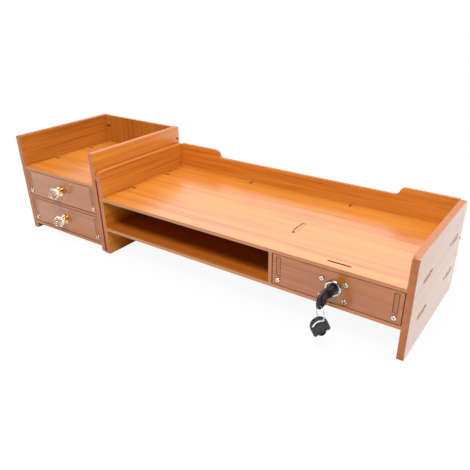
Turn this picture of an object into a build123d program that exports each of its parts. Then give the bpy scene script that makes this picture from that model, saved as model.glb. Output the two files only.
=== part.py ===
from build123d import *

import os
from math import cos, radians, sin

# A desktop monitor stand with a lockable drawer, and the two-drawer cabinet that stands beside it.
# Millimetres. While it is drawn, X runs to the right from the stand's left face, Y runs back from
# the stand's front edge, and Z runs up from the table. The origin moves to the middle of the whole
# set's footprint when the pieces are written.

# Boards
side_thickness = 9.0
board_thickness = 5.0
drawer_floor_thickness = 3.0
bay_height = 45.1
back_inset = 2.5

# Stand
stand_length = 502.0
stand_depth = 200.0
stand_height = 138.0
shelf_top = 46.5
divider_left = 313.2
stand_top_corner = 9.0
stand_low_corner = 3.0
back_shoulder = 74.5
back_ogee_width = 15.8
back_ogee_drop = 12.0
back_screw_spacing = 180.0
back_side_screw_rise = 9.4
back_side_screw_gap = 26.5

# Cabinet
cabinet_width = 186.0
cabinet_height = 165.0
cabinet_foot = 9.0
cabinet_gap = 2.0
cabinet_setback = 1.5
cabinet_corner = 1.0
cabinet_back_screw_low = 36.0
cabinet_back_screw_high = 145.0

# Tabs and their slots
tab_start = 32.0
tab_length = 26.0
tab_screw = 62.0
rear_tab_margin = 50.0
rear_tab_screw_margin = 58.0
slot_fit = 0.2
slot_slack = 0.7
tab_short = 0.2

# Divider's tab and screw
divider_tab_start = 63.5
divider_tab_length = 27.5
divider_screw = 59.0
divider_slot_slack = 0.9

# Screws and their square nuts
screw_radius = 1.25
screw_clearance = 0.3
cap_head_radius = 2.1
cap_head_height = 1.2
cap_round = 0.3
cap_recess = 1.4
cap_recess_clearance = 0.2
pan_head_radius = 3.3
pan_head_height = 1.9
pan_head_round = 0.9
screw_reach = 8.6
recess_width = 0.7
recess_span = 2.4
recess_depth = 0.8
nut_width = 5.0
nut_height = 4.8
nut_thickness = 1.9
nut_hole_clearance = 0.05
nut_distance = 5.6
nut_pocket_clearance = 0.15
nut_channel_length = 10.0

# Drawers
front_setback = 0.5
front_gap = 1.2
front_low_gap = 1.0
front_top_gap = 1.1
slide_gap = 0.3
drawer_rear_gap = 12.5
wall_drop = 3.6
wall_tab_rise = 14.7
wall_screw_rise = 7.9
stand_wall_inset = 6.0
cabinet_wall_inset = 3.0
rear_wall_lip = 2.0
floor_tab_length = 20.0
floor_tab_margin = 30.0

# Knobs
knob_flange_radius = 8.2
knob_flange_height = 1.6
knob_neck_radius = 4.4
knob_neck_height = 4.2
knob_cup_radius = 6.2
knob_cup_height = 6.6
knob_cup_depth = 1.2
crystal_radius = 9.7
crystal_depth = 14.6
crystal_table_radius = 5.6
crystal_seat_radius = 4.6
crystal_seat_fit = 0.05
crystal_sides = 10
knob_screw_radius = 1.9
knob_screw_head_radius = 3.8
knob_screw_head_height = 2.0
knob_screw_reach = 4.6
knob_step = 0.8

# Lock
lock_drop = 0.9
case_drop = 2.2
lock_screw_pitch_x = 31.7
lock_screw_pitch_z = 23.5
lock_screw_radius = 1.5
lock_nut_width = 5.5
lock_nut_thickness = 2.4
case_width = 40.0
case_height = 30.0
case_wall = 2.0
case_depth = 7.8
case_plate_thickness = 1.2
case_floor = 2.5
barrel_radius = 9.3
barrel_fit = 0.1
barrel_front_hole_clearance = 0.2
ring_radius = 11.3
ring_height = 3.0
ring_lip = 1.2
plug_radius = 7.0
plug_sunk = 1.1
plug_flange_radius = 8.2
plug_flange_thickness = 1.4
plug_rear_gap = 0.2
keyway_length = 8.6
keyway_width = 2.4
keyway_floor = 0.6
cam_pin_radius = 1.5
cam_pin_offset = 4.3
cam_pin_clearance = 0.2
bolt_width = 24.0
bolt_thickness = 1.6
bolt_clearance = 0.25
bolt_tail = 9.0
bolt_top_gap = 1.2
bolt_slot_length = 30.7
bolt_slot_width = 2.2

# Keys
head_width = 22.2
head_depth = 23.0
head_thickness = 3.4
head_corner = 2.5
head_edge_round = 0.7
head_flat_edge = 1.8
pin_radius = 0.8
pin_clearance = 0.05
eye_radius = 1.7
eye_clearance = 0.3
neck_width = 12.4
collar_radius = 6.2
collar_length = 12.0
collar_round = 0.8
collar_gap = 0.5
blade_width = 8.2
blade_thickness = 2.0
blade_tip = 2.0
blade_notch_radius = 0.9
blade_notch_pitch = 2.4
blade_notch_count = 4
key_pin_reach = 21.5
slot_radius = 10.2
slot_centre = 4.7
slot_half_angle = 41.8
slot_width = 4.1

# Wire ring and the spare key that hangs from it
ring_wire_radius = 0.5
wire_ring_radius = 9.484
ring_facing = -35.343
ring_hang_angle = 101.0
ring_hang_across = -6.13
ring_hang_along = 12.74
spare_ring_angle = -60.0
spare_hook_across = 5.09
spare_hook_along = 13.28
spare_facing = -44.0
spare_lean = 6.0
spare_roll = 24.2
spare_fold = 65.0

# Stand, worked out
inner_left = side_thickness
inner_right = stand_length - side_thickness
shelf_bottom = shelf_top - board_thickness
deck_bottom = shelf_top + bay_height
deck_top = deck_bottom + board_thickness
divider_right = divider_left + board_thickness
back_rear = stand_depth - back_inset
back_front = back_rear - board_thickness

# Cabinet, worked out
cabinet_depth = stand_depth - 2 * cabinet_setback
cabinet_right = -cabinet_gap
cabinet_left = cabinet_right - cabinet_width
cabinet_inner_left = cabinet_left + side_thickness
cabinet_inner_right = cabinet_right - side_thickness
cabinet_back_rear = cabinet_setback + cabinet_depth - back_inset
cabinet_back_front = cabinet_back_rear - board_thickness
lower_bay = cabinet_foot + board_thickness
cabinet_shelf_bottom = lower_bay + bay_height
upper_bay = cabinet_shelf_bottom + board_thickness
cabinet_deck_bottom = upper_bay + bay_height

pieces = {}


def keep(label, piece):
    """Give a finished piece its name and put it with the others."""
    piece.part.label = label
    pieces[label] = piece.part


def frame_at(point, along, across):
    """A place whose X axis runs along a screw, and whose Z axis runs across the board it enters."""
    return Plane(origin=point, x_dir=along, z_dir=across).location


# Templates for one screwed joint. Their origin is where the two boards meet, on the screw's axis,
# and X runs into the board that holds the nut.
with BuildPart() as nut_slot:
    with BuildSketch():
        with Locations((nut_channel_length / 2, 0)):
            Rectangle(nut_channel_length, 2 * (screw_radius + screw_clearance))
        with Locations((nut_distance, 0)):
            Rectangle(nut_thickness + 2 * nut_pocket_clearance, nut_width + 2 * nut_pocket_clearance)
    extrude(amount=board_thickness, both=True)

with BuildPart() as square_nut:
    with BuildSketch(Plane.YZ.offset(nut_distance - nut_thickness / 2)):
        Rectangle(nut_width, nut_height)
        Circle(screw_radius + nut_hole_clearance, mode=Mode.SUBTRACT)
    extrude(amount=nut_thickness)


def through_hole(grip, recess):
    """The clearance hole in the board under a screw's head, with a recess for a small cap head."""
    with BuildPart() as hole:
        with BuildSketch(Plane.YZ):
            Circle(screw_radius + screw_clearance)
        extrude(amount=-grip)
        if recess:
            with BuildSketch(Plane.YZ.offset(-grip)):
                Circle(cap_head_radius + cap_recess_clearance)
            extrude(amount=cap_recess)
    return hole


def screw(seat, head_radius, head_height, radius, reach, head_round):
    """A cross-recess screw whose head sits the given distance in front of the joint."""
    with BuildPart() as body:
        with BuildSketch(Plane.YZ.offset(-seat)):
            Circle(head_radius)
        extrude(amount=-head_height)
        fillet(body.edges().sort_by(Axis.X)[0], head_round)
        with BuildSketch(Plane.YZ.offset(-seat)):
            Circle(radius)
        extrude(amount=seat + reach)
        with BuildSketch(Plane.YZ.offset(-seat - head_height)):
            Rectangle(recess_span, recess_width)
            Rectangle(recess_width, recess_span)
        extrude(amount=recess_depth, mode=Mode.SUBTRACT)
    return body


side_hole = through_hole(side_thickness, True)
board_hole = through_hole(board_thickness, True)
front_hole = through_hole(board_thickness, False)
side_screw = screw(side_thickness - cap_recess, cap_head_radius, cap_head_height, screw_radius, screw_reach,
                   cap_round)
board_screw = screw(board_thickness - cap_recess, cap_head_radius, cap_head_height, screw_radius,
                    screw_reach, cap_round)
front_screw = screw(board_thickness, pan_head_radius, pan_head_height, screw_radius, screw_reach,
                    pan_head_round)


def group(label, template, places):
    """Several alike pieces, such as screws, in one node."""
    with BuildPart() as copies:
        with Locations(*places):
            add(template.part)
    keep(label, copies)


def flat_board(left, right, front, rear, bottom, side_tabs, end_places, rear_places):
    """A level board between two side panels: its tabs go through them, its nut slots face them."""
    with BuildPart() as board:
        with BuildSketch(Plane.XY.offset(bottom)):
            with Locations(((left + right) / 2, (front + rear) / 2)):
                Rectangle(right - left, rear - front)
            for start in side_tabs:
                with Locations(((left + right) / 2, start + tab_length / 2)):
                    Rectangle(right - left + 2 * (side_thickness - tab_short), tab_length)
        extrude(amount=board_thickness)
        with Locations(*end_places, *rear_places):
            add(nut_slot.part, mode=Mode.SUBTRACT)
    return board


def side_panel(face, front, depth, height, rows, side_tabs, hole_places, top_corner, low_corner):
    """An upright side panel with a slot for each board's tabs and a hole for each screw."""
    with BuildPart() as panel:
        with BuildSketch(Plane.YZ.offset(face)) as outline:
            with Locations((front + depth / 2, height / 2)):
                Rectangle(depth, height)
            low, high = outline.vertices().group_by(Axis.Y)
            fillet(high, top_corner)
            fillet(low, low_corner)
        extrude(amount=side_thickness)
        with BuildSketch(Plane.YZ.offset(face)):
            for row in rows:
                for start in side_tabs:
                    with Locations((start + tab_length / 2, row + (board_thickness - slot_slack) / 2)):
                        Rectangle(tab_length + 2 * slot_fit, board_thickness + slot_slack + slot_fit)
        extrude(amount=side_thickness, mode=Mode.SUBTRACT)
        with Locations(*hole_places):
            add(side_hole.part, mode=Mode.SUBTRACT)
    return panel


def end_joints(left, right, bottom, screws):
    """The screwed joints at both ends of a level board, left ends first."""
    level = bottom + board_thickness / 2
    left_end = [frame_at((left, y, level), (1, 0, 0), (0, 0, 1)) for y in screws]
    right_end = [frame_at((right, y, level), (-1, 0, 0), (0, 0, 1)) for y in screws]
    return left_end, right_end


def rear_joints(rear, bottom, columns):
    """The screwed joints between a level board's rear edge and the back panel."""
    level = bottom + board_thickness / 2
    return [frame_at((x, rear, level), (0, -1, 0), (0, 0, 1)) for x in columns]


def back_end_joints(left, right, middle, heights):
    """The screwed joints between the back panel's ends and the side panels, left ends first."""
    left_end = [frame_at((left, middle, z), (1, 0, 0), (0, 1, 0)) for z in heights]
    right_end = [frame_at((right, middle, z), (-1, 0, 0), (0, 1, 0)) for z in heights]
    return left_end, right_end


# Stand: joints
stand_screws = [tab_screw, stand_depth - rear_tab_screw_margin]
stand_tabs = [tab_start, stand_depth - rear_tab_margin]
stand_columns = [stand_length / 2 - back_screw_spacing / 2, stand_length / 2 + back_screw_spacing / 2]
deck_left, deck_right = end_joints(inner_left, inner_right, deck_bottom, stand_screws)
shelf_left, shelf_right = end_joints(inner_left, inner_right, shelf_bottom, stand_screws)
deck_rear = rear_joints(back_front, deck_bottom, stand_columns)
shelf_rear = rear_joints(back_front, shelf_bottom, stand_columns)
back_screw_low = shelf_top + back_side_screw_rise
back_left, back_right = back_end_joints(inner_left, inner_right, back_front + board_thickness / 2,
                                        [back_screw_low, back_screw_low + back_side_screw_gap])
divider_middle = divider_left + board_thickness / 2
divider_high = frame_at((divider_middle, divider_screw, deck_bottom), (0, 0, -1), (1, 0, 0))
divider_low = frame_at((divider_middle, divider_screw, shelf_top), (0, 0, 1), (1, 0, 0))

# Stand: side panels
stand_rows = [deck_bottom, shelf_bottom]
stand_left_side = side_panel(0, 0, stand_depth, stand_height, stand_rows, stand_tabs,
                             deck_left + shelf_left + back_left, stand_top_corner, stand_low_corner)
keep("stand_left_side", stand_left_side)
stand_right_side = side_panel(inner_right, 0, stand_depth, stand_height, stand_rows, stand_tabs,
                              deck_right + shelf_right + back_right, stand_top_corner, stand_low_corner)
keep("stand_right_side", stand_right_side)

# Lock: places that other pieces need
bay_left = divider_right
bay_right = inner_right
front_face = front_setback
front_rear = front_face + board_thickness
lock_x = (bay_left + bay_right) / 2
front_low = shelf_top + front_low_gap
front_high = deck_bottom - front_top_gap
lock_z = (front_low + front_high) / 2 - lock_drop
case_rear = front_rear + case_depth
bolt_rear = case_rear - bolt_clearance
bolt_front = bolt_rear - bolt_thickness
bolt_middle = (bolt_front + bolt_rear) / 2

# Stand: the divider's slot is alike in the deck above it and in the shelf under it
divider_slot_left = divider_left - divider_slot_slack
divider_slot_right = divider_right + slot_fit
divider_slot_x = (divider_slot_left + divider_slot_right) / 2
divider_slot_y = divider_tab_start + divider_tab_length / 2

with BuildPart() as stand_deck:
    add(flat_board(inner_left, inner_right, 0, back_front, deck_bottom, stand_tabs,
                   deck_left + deck_right, deck_rear).part)
    with BuildSketch(Plane.XY.offset(deck_bottom)):
        with Locations((divider_slot_x, divider_slot_y)):
            Rectangle(divider_slot_right - divider_slot_left, divider_tab_length + 2 * slot_fit)
        with Locations((lock_x, bolt_middle)):
            SlotOverall(bolt_slot_length, bolt_slot_width)
    extrude(amount=board_thickness, mode=Mode.SUBTRACT)
    with Locations(divider_high):
        add(board_hole.part, mode=Mode.SUBTRACT)
keep("stand_deck", stand_deck)

with BuildPart() as stand_shelf:
    add(flat_board(inner_left, inner_right, 0, back_front, shelf_bottom, stand_tabs,
                   shelf_left + shelf_right, shelf_rear).part)
    with BuildSketch(Plane.XY.offset(shelf_bottom)):
        with Locations((divider_slot_x, divider_slot_y)):
            Rectangle(divider_slot_right - divider_slot_left, divider_tab_length + 2 * slot_fit)
    extrude(amount=board_thickness, mode=Mode.SUBTRACT)
    with Locations(divider_low):
        add(board_hole.part, mode=Mode.SUBTRACT)
keep("stand_shelf", stand_shelf)

with BuildPart() as stand_divider:
    with BuildSketch(Plane.YZ.offset(divider_left)):
        with Locations((back_front / 2, shelf_top + bay_height / 2)):
            Rectangle(back_front, bay_height)
        with Locations((divider_slot_y, shelf_top + bay_height / 2)):
            Rectangle(divider_tab_length, bay_height + 2 * (board_thickness - tab_short))
    extrude(amount=board_thickness)
    with Locations(divider_high, divider_low):
        add(nut_slot.part, mode=Mode.SUBTRACT)
keep("stand_divider", stand_divider)

# The back panel stands high at both ends and drops through an ogee to its long low middle.
back_low_edge = stand_height - back_ogee_drop
ogee_start = inner_left + back_shoulder
ogee_end = ogee_start + back_ogee_width
ogee_middle = (ogee_start + back_ogee_width / 2, stand_height - back_ogee_drop / 2)

with BuildPart() as stand_back:
    with BuildSketch(Plane.XZ.offset(-back_rear)):
        with BuildLine():
            left_shoulder = Line((inner_left, stand_height), (ogee_start, stand_height))
            convex = TangentArc(left_shoulder @ 1, ogee_middle, tangent=(1, 0))
            concave = TangentArc(convex @ 1, (ogee_end, back_low_edge), tangent=convex % 1)
            low_edge = Line(concave @ 1, (stand_length / 2, back_low_edge))
            centre_line = Line(low_edge @ 1, (stand_length / 2, shelf_bottom))
            under_edge = Line(centre_line @ 1, (inner_left, shelf_bottom))
            Line(under_edge @ 1, left_shoulder @ 0)
        make_face()
        mirror(about=Plane.YZ.offset(stand_length / 2))
    extrude(amount=board_thickness)
    with Locations(*back_left, *back_right):
        add(nut_slot.part, mode=Mode.SUBTRACT)
    with Locations(*deck_rear, *shelf_rear):
        add(board_hole.part, mode=Mode.SUBTRACT)
keep("stand_back", stand_back)

stand_side_joints = deck_left + deck_right + shelf_left + shelf_right + back_left + back_right
stand_board_joints = deck_rear + shelf_rear + [divider_high, divider_low]

# Cabinet: joints
cabinet_rear = cabinet_setback + cabinet_depth
cabinet_tabs = [cabinet_setback + tab_start, cabinet_rear - rear_tab_margin]
cabinet_screws = [cabinet_setback + tab_screw, cabinet_rear - rear_tab_screw_margin]
cabinet_rows = [cabinet_foot, cabinet_shelf_bottom, cabinet_deck_bottom]
cabinet_middle = (cabinet_left + cabinet_right) / 2
cabinet_back_middle = cabinet_back_front + board_thickness / 2
cabinet_ends = [end_joints(cabinet_inner_left, cabinet_inner_right, row, cabinet_screws)
                for row in cabinet_rows]
cabinet_rears = [rear_joints(cabinet_back_front, row, [cabinet_middle]) for row in cabinet_rows]
cabinet_back_left, cabinet_back_right = back_end_joints(
    cabinet_inner_left, cabinet_inner_right, cabinet_back_middle,
    [cabinet_back_screw_low, cabinet_back_screw_high])
cabinet_left_joints = [place for left, right in cabinet_ends for place in left] + cabinet_back_left
cabinet_right_joints = [place for left, right in cabinet_ends for place in right] + cabinet_back_right
cabinet_board_joints = [place for places in cabinet_rears for place in places]

cabinet_left_side = side_panel(cabinet_left, cabinet_setback, cabinet_depth, cabinet_height, cabinet_rows,
                               cabinet_tabs, cabinet_left_joints, cabinet_corner, cabinet_corner)
keep("cabinet_left_side", cabinet_left_side)
cabinet_right_side = side_panel(cabinet_inner_right, cabinet_setback, cabinet_depth, cabinet_height,
                                cabinet_rows, cabinet_tabs, cabinet_right_joints, cabinet_corner,
                                cabinet_corner)
keep("cabinet_right_side", cabinet_right_side)

for name, row, ends, rears in zip(["cabinet_bottom", "cabinet_shelf", "cabinet_deck"], cabinet_rows,
                                  cabinet_ends, cabinet_rears):
    keep(name, flat_board(cabinet_inner_left, cabinet_inner_right, cabinet_setback, cabinet_back_front,
                          row, cabinet_tabs, ends[0] + ends[1], rears))

with BuildPart() as cabinet_back:
    with BuildSketch(Plane.XZ.offset(-cabinet_back_rear)):
        with Locations((cabinet_middle, (cabinet_foot + cabinet_height) / 2)):
            Rectangle(cabinet_inner_right - cabinet_inner_left, cabinet_height - cabinet_foot)
    extrude(amount=board_thickness)
    with Locations(*cabinet_back_left, *cabinet_back_right):
        add(nut_slot.part, mode=Mode.SUBTRACT)
    with Locations(*cabinet_board_joints):
        add(board_hole.part, mode=Mode.SUBTRACT)
keep("cabinet_back", cabinet_back)

# The fasteners of both frames
frame_side_joints = stand_side_joints + cabinet_left_joints + cabinet_right_joints
frame_board_joints = stand_board_joints + cabinet_board_joints
group("frame_side_screws", side_screw, frame_side_joints)
group("frame_board_screws", board_screw, frame_board_joints)
group("frame_nuts", square_nut, frame_side_joints + frame_board_joints)


def drawer(prefix, left, right, front, back, support, wall_inset):
    """A drawer box whose walls' tabs show in its front board. The front board is returned unfinished."""
    face = front + front_setback
    rear = back - drawer_rear_gap
    low = support + slide_gap
    front_board_low = support + front_low_gap
    front_board_high = support + bay_height - front_top_gap
    wall_high = front_board_high - wall_drop
    tab_low = low + wall_tab_rise
    screw_level = low + wall_screw_rise
    wall_front = face + board_thickness
    wall_rear = rear - board_thickness
    walls = [left + wall_inset, right - wall_inset - board_thickness]
    tab_middle = (tab_low + wall_high) / 2
    middle = (left + right) / 2
    wall_lines = [wall + board_thickness / 2 for wall in walls]
    front_joints = [frame_at((x, wall_front, screw_level), (0, 1, 0), (1, 0, 0)) for x in wall_lines]
    rear_wall_joints = [frame_at((x, wall_rear, screw_level), (0, -1, 0), (1, 0, 0)) for x in wall_lines]
    floor_tabs = [wall_front + floor_tab_margin + floor_tab_length / 2,
                  wall_rear - floor_tab_margin - floor_tab_length / 2]

    with BuildPart() as front_board:
        with BuildSketch(Plane.XZ.offset(-wall_front)):
            with Locations((middle, (front_board_low + front_board_high) / 2)):
                Rectangle(right - left, front_board_high - front_board_low)
            with Locations(*[(x, tab_middle) for x in wall_lines]):
                Rectangle(board_thickness + 2 * slot_fit, wall_high - tab_low + 2 * slot_fit,
                          mode=Mode.SUBTRACT)
        extrude(amount=board_thickness)
        with Locations(*front_joints):
            add(front_hole.part, mode=Mode.SUBTRACT)

    for name, wall in zip(["left_wall", "right_wall"], walls):
        with BuildPart() as side_wall:
            with BuildSketch(Plane.YZ.offset(wall)):
                with Locations(((wall_front + wall_rear) / 2, (low + wall_high) / 2)):
                    Rectangle(wall_rear - wall_front, wall_high - low)
                with Locations(((wall_front + wall_rear) / 2, tab_middle)):
                    Rectangle(wall_rear - wall_front + 2 * (board_thickness - tab_short), wall_high - tab_low)
                with Locations(*[(y, low + drawer_floor_thickness / 2) for y in floor_tabs]):
                    Rectangle(floor_tab_length + 2 * slot_fit, drawer_floor_thickness + slot_fit,
                              mode=Mode.SUBTRACT)
            extrude(amount=board_thickness)
            with Locations(*front_joints, *rear_wall_joints):
                add(nut_slot.part, mode=Mode.SUBTRACT)
        keep(prefix + name, side_wall)

    with BuildPart() as rear_wall:
        with BuildSketch(Plane.XZ.offset(-rear)):
            with Locations((middle, (low + wall_high) / 2)):
                Rectangle(walls[1] - walls[0] + board_thickness + 2 * rear_wall_lip, wall_high - low)
            with Locations(*[(x, tab_middle) for x in wall_lines]):
                Rectangle(board_thickness + 2 * slot_fit, wall_high - tab_low + 2 * slot_fit,
                          mode=Mode.SUBTRACT)
        extrude(amount=board_thickness)
        with Locations(*rear_wall_joints):
            add(board_hole.part, mode=Mode.SUBTRACT)
    keep(prefix + "rear_wall", rear_wall)

    with BuildPart() as floor:
        with BuildSketch(Plane.XY.offset(low)):
            with Locations((middle, (wall_front + wall_rear) / 2)):
                Rectangle(walls[1] - walls[0] - board_thickness, wall_rear - wall_front)
            with Locations(*[(middle, y) for y in floor_tabs]):
                Rectangle(walls[1] - walls[0] + board_thickness, floor_tab_length)
        extrude(amount=drawer_floor_thickness)
    keep(prefix + "floor", floor)

    group(prefix + "front_screws", front_screw, front_joints)
    group(prefix + "rear_screws", board_screw, rear_wall_joints)
    group(prefix + "nuts", square_nut, front_joints + rear_wall_joints)
    return front_board


def knob(prefix, x, front, support):
    """A crystal knob on a brass base, and the screw that holds it from inside the drawer."""
    face = front + front_setback
    level = support + (front_low_gap + bay_height - front_top_gap) / 2
    profile_plane = Plane(origin=(x, face, level), x_dir=(1, 0, 0), z_dir=(0, 0, 1))
    turning_axis = Axis((x, face, level), (0, 1, 0))
    cup_bore = crystal_seat_radius + crystal_seat_fit

    with BuildPart() as base:
        with BuildSketch(profile_plane):
            Polygon((0, 0), (knob_flange_radius, 0), (knob_flange_radius, -knob_flange_height),
                    (knob_neck_radius, -knob_flange_height - knob_step), (knob_neck_radius, -knob_neck_height),
                    (knob_cup_radius, -knob_cup_height), (cup_bore, -knob_cup_height),
                    (cup_bore, -knob_cup_height + knob_cup_depth),
                    (0, -knob_cup_height + knob_cup_depth), align=None)
        revolve(axis=turning_axis)
        with BuildSketch(Plane.XZ.offset(-face)):
            with Locations((x, level)):
                Circle(knob_screw_radius + nut_hole_clearance)
        extrude(amount=knob_screw_reach, mode=Mode.SUBTRACT)
    keep(prefix + "knob_base", base)

    # The crystal is cut in rings of flat facets, from its round seat out to the flat face in front.
    with BuildPart() as crystal:
        with BuildSketch(Plane.XZ.offset(-face + knob_cup_height - knob_cup_depth)):
            with Locations((x, level)):
                Circle(crystal_seat_radius)
        extrude(amount=knob_cup_depth)
        for index, (out, across) in enumerate(crystal_rings):
            with BuildSketch(Plane.XZ.offset(-face + knob_cup_height + out)):
                with Locations((x, level)):
                    RegularPolygon(across, crystal_sides, rotation=index % 2 * 180 / crystal_sides)
        loft(ruled=True)
    keep(prefix + "knob_crystal", crystal)

    with BuildPart() as holder:
        with BuildSketch(Plane.XZ.offset(-face - board_thickness)):
            with Locations((x, level)):
                Circle(knob_screw_radius)
        extrude(amount=board_thickness + knob_screw_reach - recess_depth)
        with BuildSketch(Plane.XZ.offset(-face - board_thickness - knob_screw_head_height)):
            with Locations((x, level)):
                Circle(knob_screw_head_radius)
        extrude(amount=knob_screw_head_height)
    keep(prefix + "knob_screw", holder)
    return x, level


crystal_rings = [(0, crystal_seat_radius),
                 (crystal_depth / 4, (crystal_radius + crystal_seat_radius) / 2 + knob_step),
                 (crystal_depth / 2, crystal_radius),
                 (crystal_depth * 3 / 4, (crystal_radius + crystal_table_radius) / 2 + knob_step),
                 (crystal_depth, crystal_table_radius)]

# Cabinet: its two drawers
cabinet_front_left = cabinet_inner_left + front_gap
cabinet_front_right = cabinet_inner_right - front_gap
for prefix, support in zip(["upper_drawer_", "lower_drawer_"], [upper_bay, lower_bay]):
    front_board = drawer(prefix, cabinet_front_left, cabinet_front_right, cabinet_setback,
                         cabinet_back_front, support, cabinet_wall_inset)
    knob_x, knob_z = knob(prefix, cabinet_middle, cabinet_setback, support)
    with BuildPart() as finished_front:
        add(front_board.part)
        with BuildSketch(Plane.XZ.offset(-cabinet_setback)):
            with Locations((knob_x, knob_z)):
                Circle(knob_screw_radius + screw_clearance)
        extrude(amount=-board_thickness - front_setback, mode=Mode.SUBTRACT)
    keep(prefix + "front", finished_front)

# Stand: its drawer, with the lock in the middle of its front
stand_front_board = drawer("stand_drawer_", bay_left + front_gap, bay_right - front_gap, 0, back_front,
                           shelf_top, stand_wall_inset)
case_z = lock_z - case_drop
lock_screw_points = [(lock_x + i * lock_screw_pitch_x / 2, case_z + k * lock_screw_pitch_z / 2)
                     for i in (-1, 1) for k in (-1, 1)]
lock_front_plane = Plane.XZ.offset(-front_face)
lock_rear_plane = Plane.XZ.offset(-front_rear)
lock_profile_plane = Plane(origin=(lock_x, front_face, lock_z), x_dir=(1, 0, 0), z_dir=(0, 0, 1))
lock_axis = Axis((lock_x, front_face, lock_z), (0, 1, 0))

with BuildPart() as stand_drawer_front:
    add(stand_front_board.part)
    with BuildSketch(lock_front_plane):
        with Locations((lock_x, lock_z)):
            Circle(barrel_radius + barrel_front_hole_clearance)
        with Locations(*lock_screw_points):
            Circle(lock_screw_radius + nut_hole_clearance)
    extrude(amount=-board_thickness, mode=Mode.SUBTRACT)
keep("stand_drawer_front", stand_drawer_front)

# Lock: a case behind the front with a barrel through it, and a bolt that rises out of its top
channel_width = bolt_width + 2 * bolt_clearance
case_low = case_z - case_height / 2
case_high = case_z + case_height / 2
chamber_low = case_low + case_floor

with BuildPart() as lock_case:
    with BuildSketch(lock_rear_plane):
        with Locations((lock_x, case_z)):
            Rectangle(case_width, case_height)
    extrude(amount=-case_depth)
    with BuildSketch(Plane.XZ.offset(-case_rear)):
        with Locations((lock_x, (chamber_low + case_high) / 2)):
            Rectangle(channel_width, case_high - chamber_low)
    extrude(amount=case_depth - case_wall, mode=Mode.SUBTRACT)
    with BuildSketch(lock_rear_plane):
        with Locations((lock_x, lock_z)):
            Circle(barrel_radius)
    extrude(amount=board_thickness + ring_height - ring_lip)
    with BuildSketch(Plane.XZ.offset(-front_rear - case_wall)):
        with Locations((lock_x, lock_z)):
            Circle(plug_radius + barrel_fit)
    extrude(amount=case_wall + board_thickness + ring_height, mode=Mode.SUBTRACT)
    with BuildSketch(lock_rear_plane):
        with Locations(*lock_screw_points):
            Circle(lock_screw_radius + nut_hole_clearance)
    extrude(amount=-case_depth, mode=Mode.SUBTRACT)
keep("lock_case", lock_case)

with BuildPart() as lock_rear_plate:
    with BuildSketch(Plane.XZ.offset(-case_rear)):
        with Locations((lock_x, case_z)):
            Rectangle(case_width, case_height)
        with Locations(*lock_screw_points):
            Circle(lock_screw_radius + nut_hole_clearance, mode=Mode.SUBTRACT)
    extrude(amount=-case_plate_thickness)
keep("lock_rear_plate", lock_rear_plate)

# The ring screws onto the barrel's end; its lip stands round the plug.
ring_bore = barrel_radius + nut_hole_clearance
lip_bore = plug_radius + barrel_fit
with BuildPart() as lock_ring:
    with BuildSketch(lock_profile_plane):
        with BuildLine():
            flat = Polyline((ring_bore, 0), (ring_radius, 0), (ring_radius, -ring_height / 3))
            rim = TangentArc(flat @ 1, (ring_radius - ring_height * 2 / 3, -ring_height), tangent=(0, -1))
            Polyline(rim @ 1, (lip_bore + ring_lip, -ring_height), (lip_bore, -ring_height + ring_lip / 2),
                     (lip_bore, -ring_height + ring_lip), (ring_bore, -ring_height + ring_lip), (ring_bore, 0))
        make_face()
    revolve(axis=lock_axis)
keep("lock_ring", lock_ring)

# The plug turns in the barrel. The pin on its rear face rides in the bolt's slot and lifts the bolt.
plug_front = ring_height - plug_sunk
plug_shoulder = board_thickness + case_wall + plug_rear_gap
plug_rear = bolt_front - front_face - plug_rear_gap
pin_angle = radians(45)
pin_side = cam_pin_offset * cos(pin_angle)
bolt_throw = 2 * cam_pin_offset * sin(pin_angle)

with BuildPart() as lock_plug:
    with BuildSketch(lock_profile_plane):
        Polygon((0, -plug_front), (plug_radius, -plug_front), (plug_radius, plug_shoulder),
                (plug_flange_radius, plug_shoulder),
                (plug_flange_radius, plug_shoulder + plug_flange_thickness),
                (plug_radius, plug_shoulder + plug_flange_thickness), (plug_radius, plug_rear),
                (0, plug_rear), align=None)
    revolve(axis=lock_axis)
    with BuildSketch(Plane.XZ.offset(-front_face - plug_rear)):
        with Locations((lock_x - pin_side, lock_z - pin_side)):
            Circle(cam_pin_radius)
    extrude(amount=-(bolt_rear - bolt_front + plug_rear_gap))
    with BuildSketch(Plane.XZ.offset(-front_face + plug_front)):
        with Locations((lock_x, lock_z)):
            Rectangle(keyway_width, keyway_length)
    extrude(amount=-(plug_front + plug_rear - keyway_floor), mode=Mode.SUBTRACT)
keep("lock_plug", lock_plug)

bolt_high = deck_bottom - bolt_top_gap
bolt_low = lock_z - bolt_tail
with BuildPart() as lock_bolt:
    with BuildSketch(Plane.XZ.offset(-bolt_rear)):
        with Locations((lock_x, (bolt_low + bolt_high) / 2)):
            Rectangle(bolt_width, bolt_high - bolt_low)
        with Locations((lock_x - cam_pin_offset / 2 - pin_side / 2, lock_z - pin_side)):
            SlotCenterToCenter(cam_pin_offset + cam_pin_clearance, 2 * (cam_pin_radius + cam_pin_clearance),
                               mode=Mode.SUBTRACT)
    extrude(amount=bolt_thickness)
keep("lock_bolt", lock_bolt)

lock_screw_places = [frame_at((x, front_rear, z), (0, 1, 0), (1, 0, 0)) for x, z in lock_screw_points]
lock_screw = screw(board_thickness, pan_head_radius, pan_head_height, lock_screw_radius,
                   case_depth + case_plate_thickness + lock_nut_thickness, pan_head_round)
group("lock_screws", lock_screw, lock_screw_places)

nut_face = case_depth + case_plate_thickness
with BuildPart() as hex_nut:
    with BuildSketch(Plane.YZ.offset(nut_face)):
        RegularPolygon(lock_nut_width / 2, 6, major_radius=False)
        Circle(lock_screw_radius + nut_hole_clearance, mode=Mode.SUBTRACT)
    extrude(amount=lock_nut_thickness)
group("lock_nuts", hex_nut, lock_screw_places)

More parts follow.
